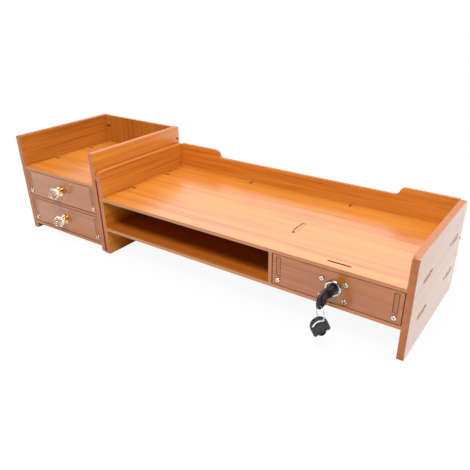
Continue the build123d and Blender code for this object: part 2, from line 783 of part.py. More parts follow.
# Keys. Each is drawn about its hinge pin: X along the pin, Y towards the head's round end, and Z out
# of the head's plain face. The blade folds about the pin, behind the head.
head_tip = head_depth - head_flat_edge
inserted = plug_front + plug_rear - keyway_floor - bolt_clearance
blade_length = key_pin_reach - plug_front + inserted
collar_end = key_pin_reach - plug_front - collar_gap
collar_start = collar_end - collar_length

slot_line = CenterArc((0, 0), slot_radius, 90 - slot_half_angle, 2 * slot_half_angle)
notch_width = neck_width + 2 * eye_clearance
notch_depth = head_flat_edge + eye_radius + eye_clearance
with BuildPart() as key_head_form:
    with BuildSketch(Plane.XY.offset(-head_thickness / 2)) as head_outline:
        with Locations((0, head_tip - head_width / 2)):
            Circle(head_width / 2)
        with Locations((0, (head_tip - head_width / 2 - head_flat_edge) / 2)):
            Rectangle(head_width, head_tip - head_width / 2 + head_flat_edge)
        fillet(head_outline.vertices().group_by(Axis.Y)[0], head_corner)
    extrude(amount=head_thickness)
    fillet(key_head_form.faces().group_by(Axis.Z)[0].edges(), head_edge_round)
    fillet(key_head_form.faces().group_by(Axis.Z)[-1].edges(), head_edge_round)
    with BuildSketch(Plane.XY.offset(-head_thickness / 2)):
        with Locations((0, slot_centre)):
            SlotArc(slot_line, slot_width)
        with Locations((0, notch_depth / 2 - head_flat_edge)):
            Rectangle(notch_width, notch_depth)
    extrude(amount=head_thickness, mode=Mode.SUBTRACT)
    with BuildSketch(Plane.YZ):
        Circle(pin_radius)
    extrude(amount=head_width / 2, both=True, mode=Mode.SUBTRACT)

with BuildPart() as key_pin_form:
    with BuildSketch(Plane.YZ):
        Circle(pin_radius)
    extrude(amount=head_width / 2 - head_edge_round, both=True)

with BuildPart() as key_blade_form:
    with BuildSketch(Plane.XZ.offset(collar_start)):
        Circle(collar_radius)
    extrude(amount=collar_length)
    fillet(key_blade_form.edges().sort_by(Axis.Y)[0], collar_round)
    with BuildSketch(Plane.XY.offset(-blade_thickness / 2)):
        with Locations((0, -(blade_length - blade_tip) / 2)):
            Rectangle(blade_width, blade_length - blade_tip)
        with BuildLine():
            Polyline((-blade_width / 2, -blade_length + blade_tip), (-blade_width / 4, -blade_length),
                     (blade_width / 4, -blade_length), (blade_width / 2, -blade_length + blade_tip), close=True)
        make_face()
        notches = [(side * blade_width / 2, -blade_length + blade_tip + (step + 0.5) * blade_notch_pitch)
                   for side in (-1, 1) for step in range(blade_notch_count)]
        with Locations(*notches):
            Circle(blade_notch_radius, mode=Mode.SUBTRACT)
    extrude(amount=blade_thickness)
    with BuildSketch(Plane.XY.offset(-eye_radius)):
        with Locations((0, -collar_start / 2)):
            Rectangle(neck_width, collar_start)
    extrude(amount=2 * eye_radius)
    with BuildSketch(Plane.YZ):
        Circle(eye_radius)
    extrude(amount=neck_width / 2, both=True)
    with BuildSketch(Plane.YZ):
        Circle(pin_radius + pin_clearance)
    extrude(amount=neck_width / 2, both=True, mode=Mode.SUBTRACT)


def place_key(prefix, seat, fold):
    """Put a copy of the key where its hinge pin belongs, with its blade folded by the given angle."""
    for name, form, turn in zip(["head", "pin", "blade"], [key_head_form, key_pin_form, key_blade_form],
                                [0, 0, fold]):
        with BuildPart() as copy:
            with Locations(seat.location * Location((0, 0, 0), (turn, 0, 0))):
                add(form.part)
        keep(prefix + name, copy)


key_seat = Plane(origin=(lock_x, front_face - key_pin_reach, lock_z), x_dir=(0, 0, 1), z_dir=(1, 0, 0))
place_key("key_", key_seat, 0)

# The wire ring hangs at the low end of the key head's slot, and the spare key hangs from the ring.
# The ring's own plane is upright. Angles on it are taken from its level line.
ring_level = Vector(cos(radians(ring_facing)), sin(radians(ring_facing)), 0)
ring_upright = Vector(0, 0, 1)
ring_normal = ring_level.cross(ring_upright)


def spoke(angle):
    """The direction from the ring's middle to its wire at an angle from the level line."""
    return ring_level * cos(angle) + ring_upright * sin(angle)


def wire_run(angle):
    """The direction in which the ring's wire runs there."""
    return ring_upright * cos(angle) - ring_level * sin(angle)


hang_angle = radians(ring_hang_angle)
ring_hang = key_seat.from_local_coords(Vector(ring_hang_across, ring_hang_along, 0))
ring_centre = ring_hang - spoke(hang_angle) * wire_ring_radius
with BuildPart() as key_ring:
    with BuildSketch(Plane(origin=ring_centre, x_dir=ring_level, z_dir=ring_upright)):
        with Locations((wire_ring_radius, 0)):
            Circle(ring_wire_radius)
    revolve(axis=Axis(ring_centre, ring_normal))
keep("key_ring", key_ring)

spare_angle = radians(spare_ring_angle)
spare_hook = ring_centre + spoke(spare_angle) * wire_ring_radius
facing = radians(spare_facing)
lean = radians(spare_lean)
roll = radians(spare_roll)
plate_normal = Vector(cos(facing) * cos(lean), sin(facing) * cos(lean), sin(lean))
level_line = Vector(-sin(facing), cos(facing), 0)
rising_line = plate_normal.cross(level_line)
spare_across = level_line * cos(roll) + rising_line * sin(roll)
spare_turn = Plane(origin=(0, 0, 0), x_dir=spare_across, z_dir=plate_normal)
hook_in_head = spare_turn.from_local_coords(Vector(spare_hook_across, spare_hook_along, 0))
spare_pin = spare_hook - hook_in_head
place_key("spare_key_", Plane(origin=spare_pin, x_dir=spare_across, z_dir=plate_normal), spare_fold)

# The origin is the middle of the whole set's footprint, on the table.
boxes = [piece.bounding_box() for piece in pieces.values()]
low_corner = Vector(min(box.min.X for box in boxes), min(box.min.Y for box in boxes), 0)
high_corner = Vector(max(box.max.X for box in boxes), max(box.max.Y for box in boxes), 0)
origin = (low_corner + high_corner) / 2
os.makedirs("parts", exist_ok=True)
for label, piece in pieces.items():
    placed = piece.moved(Location(origin * -1))
    placed.label = label
    export_step(placed, f"parts/{label}.step")

print("nodes", len(pieces))
print("origin in the drawing frame", origin)
print("overall size", high_corner - low_corner)
print("key turn axis", Vector(lock_x, front_face, lock_z) - origin)
print("key pin", key_seat.origin - origin)
print("ring hang", ring_hang - origin, "wire direction", wire_run(hang_angle))
print("spare hook", spare_hook - origin, "wire direction", wire_run(spare_angle))
print("spare pin", spare_pin - origin, "pin direction", spare_across)
print("bolt throw", bolt_throw)
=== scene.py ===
# %% [markdown]
# # A monitor stand with a drawer, and the small cabinet beside it
# The set is made of flat fibreboard panels that carry a printed cherry grain under a satin film.
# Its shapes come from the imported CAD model, which is loaded here as a fixed frame. This lesson sets
# up the camera, dresses the frame in wood, chrome, brass, crystal and black plastic, and then adds
# the floor and the lamps.

# %% Load the frame
from math import radians

import bmesh
import bpy
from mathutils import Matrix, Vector


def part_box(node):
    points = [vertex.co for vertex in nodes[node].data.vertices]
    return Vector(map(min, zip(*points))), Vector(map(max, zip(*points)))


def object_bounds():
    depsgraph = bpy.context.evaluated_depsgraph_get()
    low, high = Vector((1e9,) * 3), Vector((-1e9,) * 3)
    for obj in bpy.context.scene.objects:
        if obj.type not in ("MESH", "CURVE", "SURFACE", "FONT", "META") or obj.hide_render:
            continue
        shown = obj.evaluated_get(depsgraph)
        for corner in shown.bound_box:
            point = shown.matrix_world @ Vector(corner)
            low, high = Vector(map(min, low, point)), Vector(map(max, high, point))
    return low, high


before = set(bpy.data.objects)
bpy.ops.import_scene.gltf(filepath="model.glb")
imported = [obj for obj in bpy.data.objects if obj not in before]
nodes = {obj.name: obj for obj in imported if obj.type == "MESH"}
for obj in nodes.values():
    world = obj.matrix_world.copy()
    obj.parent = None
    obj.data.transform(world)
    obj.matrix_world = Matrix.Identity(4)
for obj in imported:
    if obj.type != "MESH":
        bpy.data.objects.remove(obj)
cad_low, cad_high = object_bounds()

print("CAD nodes", len(nodes), "box", cad_low, cad_high)

# %% [markdown]
# ## The camera
# The photograph was taken from the right and above with a short normal lens. A camera can be moved
# by eye until the picture looks alike, but a set of straight boards shows every small error, so the
# place, the turn and the lens were fitted to the boards' edges. The camera is placed from the
# stand's near left foot. The fit gave the lens in pixels, which are turned into millimetres of the
# sensor. The picture's middle lies a little beside the lens axis, so the camera has a small shift.

# %% Camera
SENSOR_WIDTH = 36.0
PICTURE_WIDTH_IN_PIXELS = 470.0
LENS_IN_PIXELS = 520.256
CAMERA_FROM_FOOT = (0.6219, -0.4988, 0.3974)
TILT_DOWN = 28.448
TURN_LEFT = 33.434

corner = Vector(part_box("stand_left_side")[0])
camera_data = bpy.data.cameras.new("camera")
camera_data.sensor_width = SENSOR_WIDTH
camera_data.lens = LENS_IN_PIXELS * SENSOR_WIDTH / PICTURE_WIDTH_IN_PIXELS
camera_data.shift_x = -0.0425
camera_data.shift_y = 0.0529
camera_data.clip_start = 0.01
camera = bpy.data.objects.new("camera", camera_data)
camera.location = corner + Vector(CAMERA_FROM_FOOT)
camera.rotation_euler = (radians(90 - TILT_DOWN), 0.0, radians(TURN_LEFT))
bpy.context.collection.objects.link(camera)
bpy.context.scene.camera = camera
print("camera at", camera.location, "with a lens of", camera_data.lens)

# %% [markdown]
# ## Writing shaders as expressions
# A wood grain is a sum of stretched noises, which is easier to read as a sum than as a web of Math
# nodes. The small class below wraps one output socket. Then `noise * 0.5 + 0.2` adds its own Math
# nodes, `noise > 0.5` is a mask of ones and zeros, and `1.0 - mask` is the rest of the surface.

# %% One socket as a number
class Signal:
    """One output socket of a node tree, used as a number in an expression."""

    def __init__(self, builder, socket):
        self.builder = builder
        self.socket = socket

    def maths(self, operation, first, second):
        """A Math node on two values, each a Signal or a number."""
        return self.builder.add("ShaderNodeMath", {"operation": operation}, {0: first, 1: second})

    def __add__(self, other):
        return self.maths("ADD", self, other)

    __radd__ = __add__

    def __sub__(self, other):
        return self.maths("SUBTRACT", self, other)

    def __rsub__(self, other):
        return self.maths("SUBTRACT", other, self)

    def __mul__(self, other):
        return self.maths("MULTIPLY", self, other)

    __rmul__ = __mul__

    def __gt__(self, other):
        return self.maths("GREATER_THAN", self, other)

    def __lt__(self, other):
        return self.maths("LESS_THAN", self, other)

    def __abs__(self):
        return self.maths("ABSOLUTE", self, 0.0)

    def at_least(self, other):
        """The greater of two values, which also joins two masks into one."""
        return self.maths("MAXIMUM", self, other)


print("a socket can be added, multiplied and compared")

# %% [markdown]
# ## Adding nodes
# A material and the world are both node trees, so one class builds either. A node comes from `add`,
# which takes its kind, its settings and the values or links of its sockets, and gives one of its
# outputs back. A long chain of nodes then reads from the top down.

# %% A tree of nodes
class NodeBuilder:
    """A node tree whose nodes are made by Python calls."""

    def __init__(self, tree, output_kind):
        self.tree = tree
        self.tree.nodes.clear()
        self.output = self.tree.nodes.new(output_kind)

    def add(self, kind, settings=None, values=None, out=0):
        """Any node: its settings first, then its sockets' values or links. Gives one output."""
        node = self.tree.nodes.new(kind)
        for name, value in (settings or {}).items():
            if name == "stops":
                self.set_stops(node.color_ramp, value)
            else:
                setattr(node, name, value)
        for name, value in (values or {}).items():
            self.feed(node.inputs[name], value)
        return Signal(self, node.outputs[out])

    def set_stops(self, ramp, stops):
        """Colour stops as (position, (red, green, blue))."""
        while len(ramp.elements) < len(stops):
            ramp.elements.new(1.0)
        for element, (position, colour) in zip(ramp.elements, stops):
            element.position = position
            element.color = (*colour, 1.0)

    def feed(self, socket, value):
        """Link a Signal to a socket, or set the socket's own value."""
        if isinstance(value, Signal):
            self.tree.links.new(value.socket, socket)
        else:
            socket.default_value = value

    def show(self, surface):
        """Send a shader to the tree's output."""
        self.feed(self.output.inputs["Surface"], surface)


print("node builder ready")

# %% [markdown]
# ## A material
# The finishes of this set need the same few things again and again: where a point lies, which way a
# face looks, noise, a mix of two colours and a little relief. Each is a method with a plain name.
# All patterns lie on object coordinates in metres, so no board needs unwrapping, and a scale of 90
# means about 90 cells a metre.

# %% A material built by calls
class Shader(NodeBuilder):
    """A material that starts with a Principled shader."""

    def __init__(self, name, **constants):
        self.material = bpy.data.materials.new(name)
        self.material.use_nodes = True
        super().__init__(self.material.node_tree, "ShaderNodeOutputMaterial")
        self.surface = self.add("ShaderNodeBsdfPrincipled")
        self.show(self.surface)
        self.drive(**constants)

    def drive(self, **sockets):
        """Set or link sockets of the Principled shader, named with _ for a space."""
        for name, value in sockets.items():
            self.feed(self.surface.socket.node.inputs[name.replace("_", " ")], value)

    def place(self):
        """Object coordinates, in metres."""
        return self.add("ShaderNodeTexCoord", out="Object")

    def place_from(self, point):
        """Object coordinates, counted from a point."""
        return self.add("ShaderNodeVectorMath", {"operation": "SUBTRACT"}, {0: self.place(), 1: point})

    def coordinate(self, vector, axis):
        """One coordinate of a vector, as a number."""
        return self.add("ShaderNodeSeparateXYZ", values={0: vector}, out=axis)

    def facing(self, axis):
        """How far a face looks along an axis, either way: 1 for a board's printed face."""
        normal = self.add("ShaderNodeTexCoord", out="Normal")
        return abs(self.coordinate(normal, axis))

    def stretched(self, scale, offset):
        """Object coordinates moved and stretched, for a pattern with a direction."""
        return self.add("ShaderNodeMapping", values={"Vector": self.place(), "Location": offset,
                                                     "Scale": scale})

    def noise(self, vector, scale, detail, roughness, distortion=0.0):
        """Noise from 0 to 1."""
        return self.add("ShaderNodeTexNoise", values={"Vector": vector, "Scale": scale, "Detail": detail,
                                                      "Roughness": roughness, "Distortion": distortion})

    def mapped(self, amount, start, end, low, high):
        """An amount between start and end, mapped to lie between low and high."""
        return self.add("ShaderNodeMapRange", values={"Value": amount, "From Min": start, "From Max": end,
                                                      "To Min": low, "To Max": high})

    def ramp(self, amount, stops):
        """A colour for each amount."""
        return self.add("ShaderNodeValToRGB", {"stops": stops}, {"Fac": amount})

    def blend(self, amount, first, second):
        """Two colours mixed."""
        return self.add("ShaderNodeMix", {"data_type": "RGBA"}, {0: amount, 6: first, 7: second}, out=2)

    def raised(self, height, distance, strength):
        """Bump from a height, fed to the surface's normal."""
        self.drive(Normal=self.add("ShaderNodeBump", values={"Height": height, "Distance": distance,
                                                             "Strength": strength}))


print("material class ready")

# %% [markdown]
# ## The colours of the boards
# The printed film runs from a deep red brown, in the dark parts of the grain, to a light orange. The
# cut edges carry a plainer band. It is tan on the decks and most thin boards, brown on the backs and
# side panels, and a warmer brown on the two panels that stand wall to wall. The drawers' side walls
# end in tabs that show in the fronts' slots, so their edges come near the colour of the fronts.
# Where a slot or a hole cuts a board, it shows the raw core, and its dark colour also holds painted
# shade, since these walls lie in narrow recesses. Each edge has two colours, and the grain's streaks mix
# them.

# %% Colours of the boards
GRAIN_STOPS = [(0.0, (0.29, 0.064, 0.0055)), (0.3, (0.48, 0.132, 0.012)), (0.5, (0.60, 0.198, 0.020)),
               (0.75, (0.69, 0.256, 0.030)), (1.0, (0.76, 0.320, 0.044))]
DARK_GRAIN = (0.26, 0.050, 0.008, 1.0)
THIN_EDGE = ((0.40, 0.140, 0.045, 1.0), (0.62, 0.260, 0.100, 1.0))
THICK_EDGE = ((0.34, 0.088, 0.018, 1.0), (0.52, 0.168, 0.040, 1.0))
TAB_EDGE = ((0.32, 0.105, 0.030, 1.0), (0.46, 0.170, 0.058, 1.0))
WARM_EDGE = ((0.42, 0.106, 0.018, 1.0), (0.62, 0.190, 0.042, 1.0))
# the raw core's colour, darkened with painted shade for slot and hole walls in their recesses; it also
# paints the slot lines
SHADED_RAW_CORE = (0.075, 0.026, 0.010, 1.0)
# painted shade for the faces and rims where the two units stand wall to wall
SEAM_SHADE = (0.13, 0.024, 0.003, 1.0)
print("grain from", GRAIN_STOPS[0][1], "to", GRAIN_STOPS[-1][1])

# %% [markdown]
# ## Finding the slots
# The boards are joined by tabs in slots, and each slot shows as a thin dark line: its gap, and the
# film's broken edge. The gap is a few tenths of a millimetre, which is less than a pixel here, so
# the line is painted as well. It could be placed by hand from the drawing of each board. Instead,
# the slots are read from the board's own mesh, so that each line lies where its slot is. A copy of
# the mesh is merged, and the border edges of its flat face form closed loops. A loop that is more
# than twice as long as it is wide is a slot, unless it is tiny or as large as the board's outline.
# Round screw holes are left out by the same test.

# %% Slots of a board
AXES = {"X": 0, "Y": 1, "Z": 2}
MERGE_DISTANCE = 0.000001
FLATNESS = 0.00001
SHORTEST_SLOT = 0.008
LARGEST_SHARE_OF_BOARD = 0.5


def face_loops(board_name, thin):
    """The border of a board's lower printed face, as loops of points: its outline, slots and holes."""
    axis = AXES[thin]
    form = bmesh.new()
    form.from_mesh(nodes[board_name].data)
    bmesh.ops.remove_doubles(form, verts=form.verts, dist=MERGE_DISTANCE)
    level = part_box(board_name)[0][axis]
    flat_faces = {face for face in form.faces
                  if all(abs(vert.co[axis] - level) < FLATNESS for vert in face.verts)}
    next_to = {}
    for edge in form.edges:
        if sum(face in flat_faces for face in edge.link_faces) == 1:
            for vert, other in (edge.verts, reversed(edge.verts)):
                next_to.setdefault(vert, []).append(other)
    loops = []
    while next_to:
        loop = [next(iter(next_to))]
        for vert in loop:
            neighbours = next_to.pop(vert, [])
            loop.extend(other for other in neighbours if other in next_to and other not in loop)
        loops.append([vert.co.copy() for vert in loop])
    form.free()
    return loops


def slots_in(board_name, thin):
    """Centre and half size of each oblong slot that goes through a board's printed face."""
    board_half = (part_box(board_name)[1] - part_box(board_name)[0]) / 2
    slots = []
    for loop in face_loops(board_name, thin):
        low_corner = Vector([min(point[part] for point in loop) for part in range(3)])
        high_corner = Vector([max(point[part] for point in loop) for part in range(3)])
        half = (high_corner - low_corner) / 2
        half_width, half_length = sorted(half)[1:]
        oblong = half_length > 2 * half_width and 2 * half_length > SHORTEST_SLOT
        if oblong and half.length < LARGEST_SHARE_OF_BOARD * board_half.length:
            slots.append(((low_corner + high_corner) / 2, half))
    return slots


print("slots in the stand's deck", len(slots_in("stand_deck", "Z")))

# %% [markdown]
# ## Masks for cores, slots and the seam
# Three masks say where a board differs from its plain film and band. The core mask is 1 well inside
# the board's outline, where any face that isn't printed is the wall of a slot or a hole; there the
# dark core colour also paints the shade of the recess. The slot mask is 1 on a line round each slot.
# The seam shade mask is 1 on the two panels that stand wall to wall. On the real set hardly any
# light gets in between them, but at this slant the lit edges of an open gap would look pale, so the
# two faces and their rims get painted shade. The painted shade leaves the panels' top front corners
# free, where light does reach them.

# %% Masks of a board
CORE_MARGIN = 0.012
SLOT_LINE = 0.0008
SEAM_DEPTH = {"cabinet_right_side": 0.0014, "stand_left_side": 0.0020}
SEAM_BELOW_TOP = 0.002
SEAM_CORNER = 0.012

stand_low, stand_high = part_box("stand_left_side")
cabinet_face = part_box("cabinet_right_side")[1].x
seam_top = stand_high.z - SEAM_BELOW_TOP
seam_front = stand_low.y
seam_middle = (cabinet_face + stand_low.x) / 2
seam_half_width = (stand_low.x - cabinet_face) / 2


def core_mask(shader, board_name, thin):
    """1 deeper than the margin inside a board's outline, where slots and holes show its core, painted
    dark with the recess's shade.
    """
    low_corner, high_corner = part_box(board_name)
    half = (high_corner - low_corner) / 2
    from_centre = shader.place_from((low_corner + high_corner) / 2)
    deep = 1.0
    for axis in "XYZ":
        if axis != thin:
            off = abs(shader.coordinate(from_centre, axis))
            deep = (1.0 - (off > half[AXES[axis]] - CORE_MARGIN)) * deep
    return deep


def slot_mask(shader, slots, thin):
    """1 on a line round each slot, given by its centre and half size."""
    lines = 0.0
    for centre, half in slots:
        from_centre = shader.place_from(centre)
        beyond = -1.0
        for axis in "XYZ":
            if axis != thin:
                off = abs(shader.coordinate(from_centre, axis))
                beyond = (off - half[AXES[axis]]).at_least(beyond)
        lines = (abs(beyond) < SLOT_LINE).at_least(lines)
    return lines


def seam_shade_mask(shader, board_name):
    """1 on the side of a panel where the two units stand wall to wall, to get painted shade."""
    across = shader.coordinate(shader.place(), "X")
    from_front = shader.coordinate(shader.place(), "Y") - seam_front
    below_top = seam_top - shader.coordinate(shader.place(), "Z")
    near_gap = abs(across - seam_middle) < seam_half_width + SEAM_DEPTH[board_name]
    return near_gap * (below_top > 0.0) * (from_front + below_top > SEAM_CORNER)


print("gap between the units", 2 * seam_half_width, "shaded up to", seam_top)

# %% [markdown]
# ## The cherry laminate
# The boards are covered with a printed film: an orange cherry grain with long straight streaks, thin
# dark lines and a few broad bands. One recipe serves every board. What differs is the grain's
# direction, which axis the board is thin along, its tone, its edge, and an offset so that no two
# boards repeat the same streaks. The film is a satin plastic, so a thin coat lies over it and gives
# the pale wash that the front of the deck shows. A flat wood colour would miss both the lines and
# the wash. The fronts have a smoother coat than the rest, and the film of the fronts and shelves is
# redder; on the shelves that redder film is also painted shade, the deep red shade of the dim bay.
# The left sides, the backs, the shelves and the cabinet's deck show little of the wash in the
# photograph, so they get less coat. A slot's line has less of it too, and the seam's painted shade
# has none, because a coat there would mirror the light and turn the dark lines grey.

# %% Recipe of the laminate
GLOSS = 0.75
DULL_GLOSS = 0.2
DULL_BOARDS = ("_left_side", "_back", "_shelf", "cabinet_deck")
# on the shelves the redder film is also painted shade of the dim bay
REDDER_AND_SHADED_BOARDS = ("_front", "_shelf")
COOL_SHARE_OF_REDDER_AND_SHADED = 0.84
COAT_ROUGHNESS = 0.27
FRONT_COAT_ROUGHNESS = 0.18
SLOT_STRENGTH = 0.55
FRONT_SLOT_STRENGTH = 0.8
SEAM_STRENGTH = 0.95
STEP_OF_PATTERN = (1.7, 2.3, 0.9)


def laminate(board_name, grain, thin, tone, edge, seed):
    """Printed cherry film on a board that is thin along one axis, with its grain along another."""
    front = board_name.endswith("_front")
    gloss = DULL_GLOSS if board_name.endswith(DULL_BOARDS) else GLOSS
    cool = COOL_SHARE_OF_REDDER_AND_SHADED if board_name.endswith(REDDER_AND_SHADED_BOARDS) else 1.0
    shader = Shader(board_name + "_laminate", IOR=1.5, Specular_IOR_Level=0.5, Coat_IOR=1.5,
                    Coat_Roughness=FRONT_COAT_ROUGHNESS if front else COAT_ROUGHNESS)
    offset = tuple(seed * step for step in STEP_OF_PATTERN)

    def grain_noise(across, along, detail, roughness, distortion=0.0):
        """Noise with so many cells a metre across the grain, and fewer along it."""
        scale = [across, across, across]
        scale[AXES[grain]] = along
        return shader.noise(shader.stretched(tuple(scale), offset), 1.0, detail, roughness, distortion)

    bands = grain_noise(17.0, 1.2, detail=2.0, roughness=0.5, distortion=0.6)
    streaks = grain_noise(90.0, 3.0, detail=3.0, roughness=0.6, distortion=0.3)
    fibres = grain_noise(420.0, 9.0, detail=2.0, roughness=0.5)
    lines = grain_noise(190.0, 4.5, detail=1.0, roughness=0.4, distortion=0.2)
    tint = (bands - 0.5) * 0.4 + (streaks - 0.5) * 0.7 + (fibres - 0.5) * 0.6 + 0.54
    film = shader.ramp(tint, [(at, (red * tone, green * tone * cool, blue * tone * cool))
                              for at, (red, green, blue) in GRAIN_STOPS])
    dark_lines = shader.mapped(lines, start=0.60, end=0.74, low=0.0, high=0.42)
    film = shader.blend(dark_lines, film, DARK_GRAIN)
    band = shader.blend(streaks, *edge)
    # slot and hole walls get the dark core colour, with painted shade in it
    cut = shader.blend(core_mask(shader, board_name, thin), band, SHADED_RAW_CORE)

    marks = 0.0
    slots = slots_in(board_name, thin)
    if slots:
        marks = slot_mask(shader, slots, thin) * (FRONT_SLOT_STRENGTH if front else SLOT_STRENGTH)
        film = shader.blend(marks, film, SHADED_RAW_CORE)
    printed = shader.facing(thin) > 0.5
    colour = shader.blend(printed, cut, film)
    # painted shade on the panels that stand wall to wall
    if board_name in SEAM_DEPTH:
        seam = seam_shade_mask(shader, board_name)
        colour = shader.blend(seam * SEAM_STRENGTH, colour, SEAM_SHADE)
        marks = seam.at_least(marks)

    coat = ((streaks - 0.5) * 0.2 + gloss) * printed + 0.1
    shader.drive(Base_Color=colour, Coat_Weight=coat * (1.0 - marks),
                 Roughness=(fibres - 0.5) * 0.12 + (bands - 0.5) * 0.06 + marks * 0.5 + 0.36)
    shader.raised(fibres * 0.5 + streaks * 0.5, distance=0.00005, strength=0.5)
    return shader.material


print("laminate recipe ready, with a gloss of", GLOSS, "or", DULL_GLOSS)

# %% [markdown]
# ## Which board runs which way
# The decks, shelves, drawer fronts and the stand's back have their grain from left to right, and so
# have the floors and rear walls of the drawers. The side panels, the divider and the drawers' side
# walls run front to back, and the cabinet's back stands upright. Each row below gives the grain's
# axis, the axis that the board is thin along, its tone and its edge. The tones follow the
# photograph, where some boards are lighter than others partly because of how light falls on them, so
# the tones also hold painted light and shade; the stand's shelf and divider are darker to paint the
# shade of the bay under the deck. The film of the side panels is wrapped round their edges, so a
# small bevel rounds them. The CAD solid has sharp edges, and a modifier rounds them without touching
# its mesh.

# %% Dress the boards
DRAWERS = ("stand_drawer", "upper_drawer", "lower_drawer")
EDGE_ROUNDING = 0.0009
BOARDS = {
    "stand_deck": ("X", "Z", 0.91, THIN_EDGE),
    # the shelf's low tone is painted shade of the dim bay under the deck
    "stand_shelf": ("X", "Z", 0.80, THIN_EDGE),
    "stand_back": ("X", "Y", 1.20, THICK_EDGE),
    "stand_left_side": ("Y", "X", 1.10, WARM_EDGE),
    "stand_right_side": ("Y", "X", 0.80, THICK_EDGE),
    # the divider's low tone is painted shade of the dim bay
    "stand_divider": ("Y", "X", 0.80, THIN_EDGE),
    "cabinet_deck": ("X", "Z", 0.82, THIN_EDGE),
    "cabinet_shelf": ("X", "Z", 0.80, THICK_EDGE),
    "cabinet_bottom": ("X", "Z", 0.80, THIN_EDGE),
    "cabinet_back": ("Z", "Y", 0.84, THICK_EDGE),
    "cabinet_left_side": ("Y", "X", 0.86, THICK_EDGE),
    "cabinet_right_side": ("Y", "X", 1.16, WARM_EDGE),
}
for drawer_name in DRAWERS:
    BOARDS[drawer_name + "_front"] = ("X", "Y", 0.70, THIN_EDGE)
    BOARDS[drawer_name + "_left_wall"] = ("Y", "X", 0.85, TAB_EDGE)
    BOARDS[drawer_name + "_right_wall"] = ("Y", "X", 0.85, TAB_EDGE)
    BOARDS[drawer_name + "_rear_wall"] = ("X", "Y", 0.85, THIN_EDGE)
    BOARDS[drawer_name + "_floor"] = ("X", "Z", 0.80, THIN_EDGE)


def dress(node_name, material):
    """Give a CAD node one material in its own slot."""
    mesh = nodes[node_name].data
    mesh.materials.clear()
    mesh.materials.append(material)


def soften(node_name, width):
    """Round a board's edges with a bevel of the given width, after its loose triangles are merged."""
    weld = nodes[node_name].modifiers.new("weld", "WELD")
    weld.merge_threshold = MERGE_DISTANCE
    bevel = nodes[node_name].modifiers.new("bevel", "BEVEL")
    bevel.width = width
    bevel.segments = 3
    bevel.limit_method = "ANGLE"
    bevel.angle_limit = radians(50)


for number, (board_name, (grain, thin, tone, edge)) in enumerate(BOARDS.items()):
    dress(board_name, laminate(board_name, grain, thin, tone, edge, number + 1.0))
    if board_name.endswith("_side"):
        soften(board_name, EDGE_ROUNDING)
print("boards dressed", len(BOARDS))

# %% [markdown]
# ## Metals
# The small parts are what catch the eye: the chrome ring and the reddish plug of the lock, zinc
# screws and nuts, and the knobs' brass bases. The plug's reddish brown is a painted reflection of the
# wood round it, and the chrome is darkened and warmed a little with a painted warm reflection. A
# metal could be one colour with one roughness, but no real metal is evenly clean, so a fine speckle
# moves its colour, its gloss and its relief.

# %% Metals
SPECKLE_SCALE = 900.0


def plate(shader, speckle, colour):
    """A plate colour that a speckle darkens by up to a seventh."""
    dark = tuple(part * 0.86 for part in colour)
    return shader.blend(speckle, (*dark, 1.0), (*colour, 1.0))


def metal(name, colour, rough, variation=0.06, scale=SPECKLE_SCALE):
    """Plated or polished metal with fine wear in its gloss."""
    shader = Shader(name, Metallic=1.0)
    speckle = shader.noise(shader.place(), scale, detail=3.0, roughness=0.6)
    shader.drive(Base_Color=plate(shader, speckle, colour), Roughness=(speckle - 0.5) * variation + rough)
    shader.raised(speckle, distance=0.00002, strength=0.25)
    return shader.material


# the chrome's warm, darker colour and the plug's reddish brown are painted reflections of the wood
chrome = metal("polished_chrome", (0.58, 0.54, 0.50), rough=0.10)
plug_metal_with_painted_reflection = metal("plug_face_with_painted_reflection", (0.36, 0.19, 0.12), rough=0.26, variation=0.12)
zinc = metal("zinc_plate", (0.80, 0.79, 0.77), rough=0.22, variation=0.12)
dark_steel = metal("darkened_steel", (0.20, 0.16, 0.14), rough=0.42, variation=0.12)
cast_zinc = metal("nickelled_casting", (0.66, 0.65, 0.63), rough=0.32, variation=0.12, scale=400.0)
nickel = metal("nickelled_key", (0.84, 0.83, 0.81), rough=0.14)
brass = metal("polished_brass", (0.90, 0.64, 0.33), rough=0.14, variation=0.08)
metals = (chrome, plug_metal_with_painted_reflection, zinc, dark_steel, cast_zinc, nickel, brass)
print("metals", [material.name for material in metals])

# %% [markdown]
# ## Screws with a dark recess
# The drawer fronts and the lock are held by bright screws with a cross recess. A head is only a few
# pixels wide, and what reads at that size is the dark cross. The recess is modelled in the CAD
# solid, but its floor mirrors the pale room and disappears. So the material paints shade, nearly
# black, on the flat faces that lie behind the head's front: the recess's floor and, out of sight,
# the head's underside and the screw's end.

# %% Screws with a dark recess
SCREW_COLOUR = (0.66, 0.62, 0.56)
PAINTED_RECESS_SHADE = (0.05, 0.045, 0.04, 1.0)
RECESS_DEPTH = 0.0005


def screw_zinc(name, screws):
    """Zinc plate for one node of front screws, with painted shade in its cross recess."""
    shader = Shader(name, Metallic=1.0)
    speckle = shader.noise(shader.place(), SPECKLE_SCALE, detail=3.0, roughness=0.6)
    behind = shader.coordinate(shader.place(), "Y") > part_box(screws)[0].y + RECESS_DEPTH
    # painted shade on the recess's floor and the faces behind the head
    recess = (shader.facing("Y") > 0.95) * behind
    shader.drive(Base_Color=shader.blend(recess, plate(shader, speckle, SCREW_COLOUR), PAINTED_RECESS_SHADE),
                 Roughness=(speckle - 0.5) * 0.12 + 0.24)
    shader.raised(speckle, distance=0.00002, strength=0.25)
    return shader.material


BRIGHT_SCREWS = {"lock_screws": screw_zinc("lock_screw_zinc", "lock_screws")}
for drawer_name in DRAWERS:
    screws = drawer_name + "_front_screws"
    BRIGHT_SCREWS[screws] = screw_zinc(drawer_name + "_screw_zinc", screws)
print("groups of bright screws", len(BRIGHT_SCREWS))

